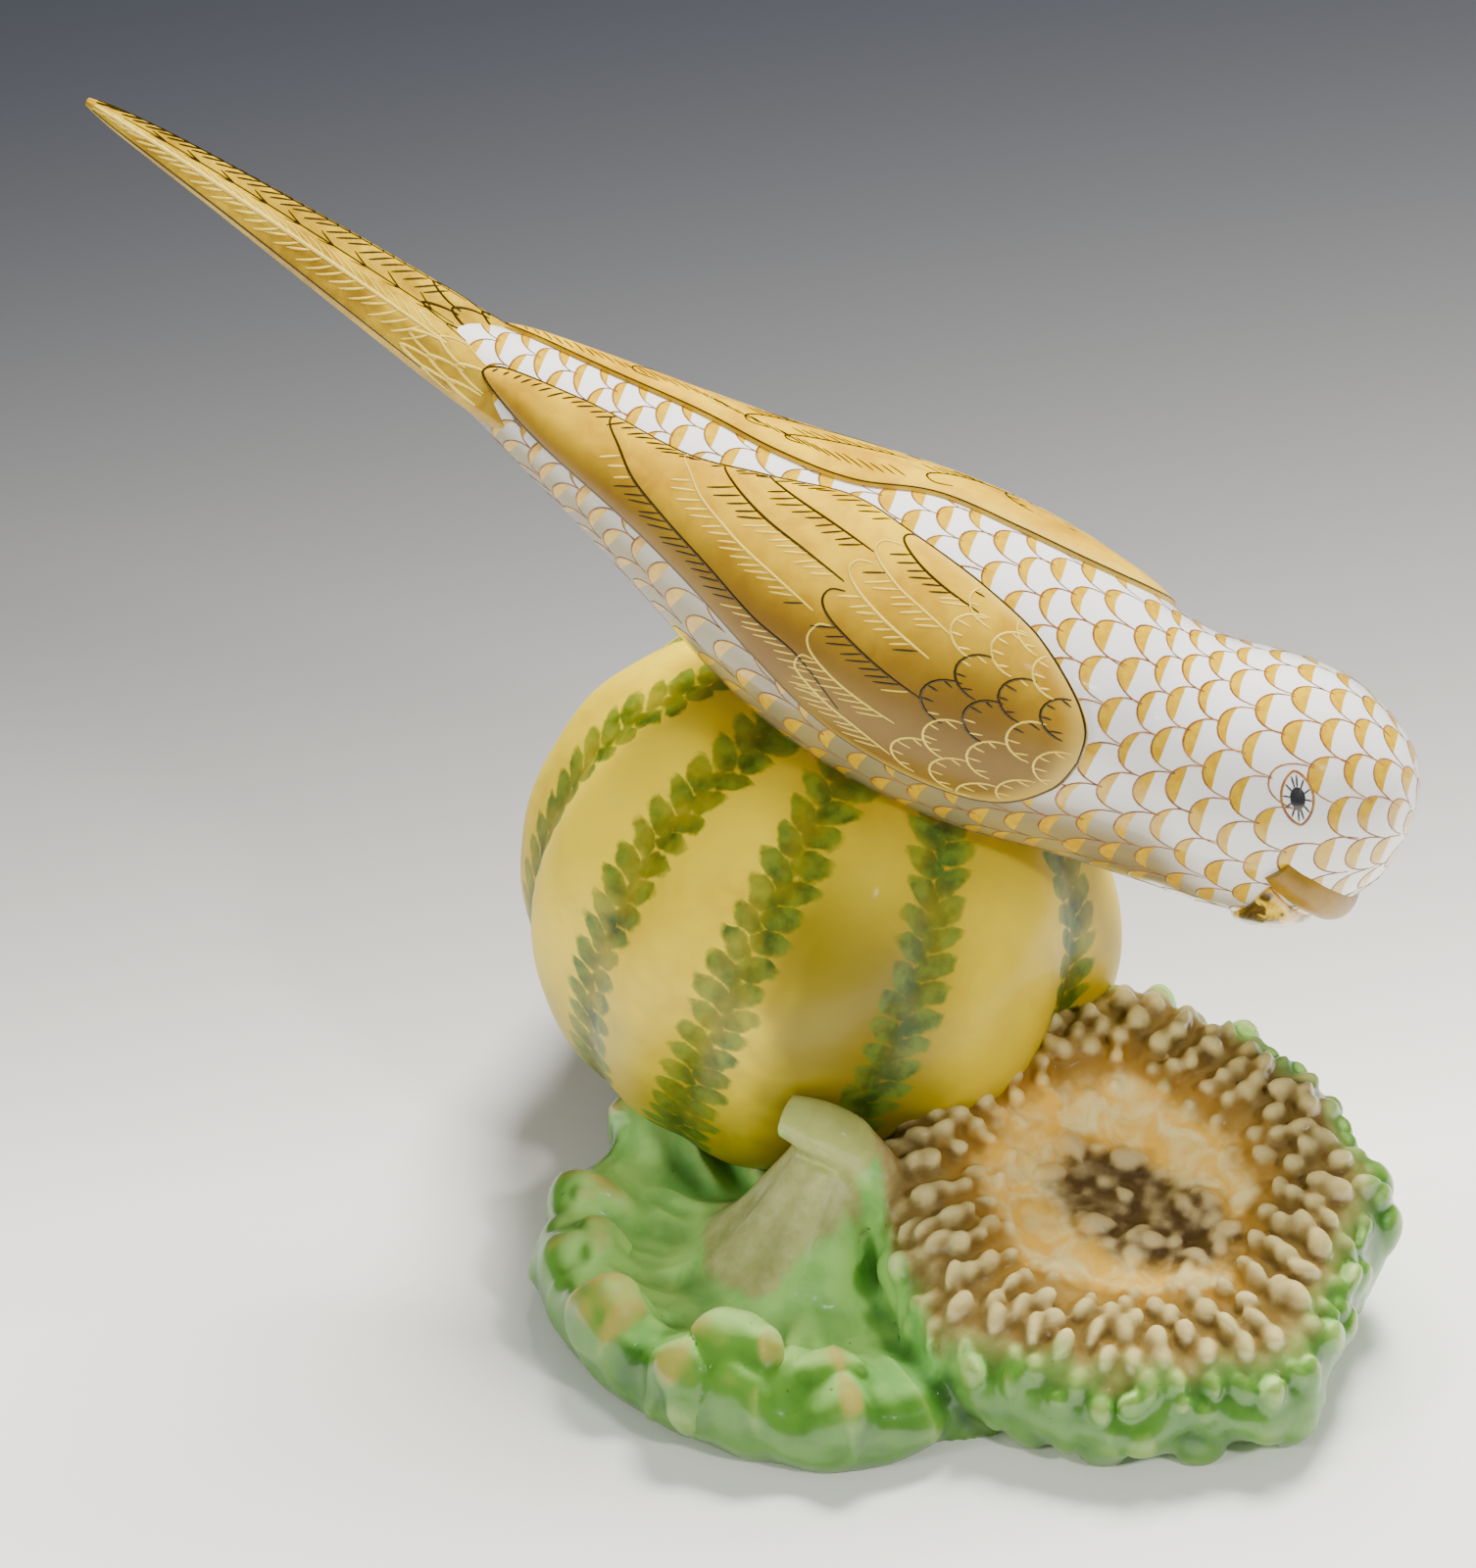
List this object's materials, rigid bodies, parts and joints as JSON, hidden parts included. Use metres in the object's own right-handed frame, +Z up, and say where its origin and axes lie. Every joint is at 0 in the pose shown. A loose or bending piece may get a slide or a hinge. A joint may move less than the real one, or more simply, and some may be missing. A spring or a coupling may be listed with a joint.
{
  "type": "parrot figurine",
  "caption": "Glazed porcelain parakeet with a long raised tail, lying along a ribbed yellow gourd, with a face-down and a face-up green seed head at its foot.",
  "frame": {"origin": "point on the flat underside, where the two seed heads and the gourd join", "axes": "+X is the way the bird faces, +Y is away from the two seed heads towards the gourd, +Z is up"},
  "size_m": [0.2157, 0.1475, 0.1768],
  "materials": {
    "glazed_body": "gloss glaze over hand-painted amber, yellow, green and brown, with burnished gold lines"
  },
  "bodies": {
    "root": {"parrot_figurine": "glazed_body"}
  },
  "joints": []
}
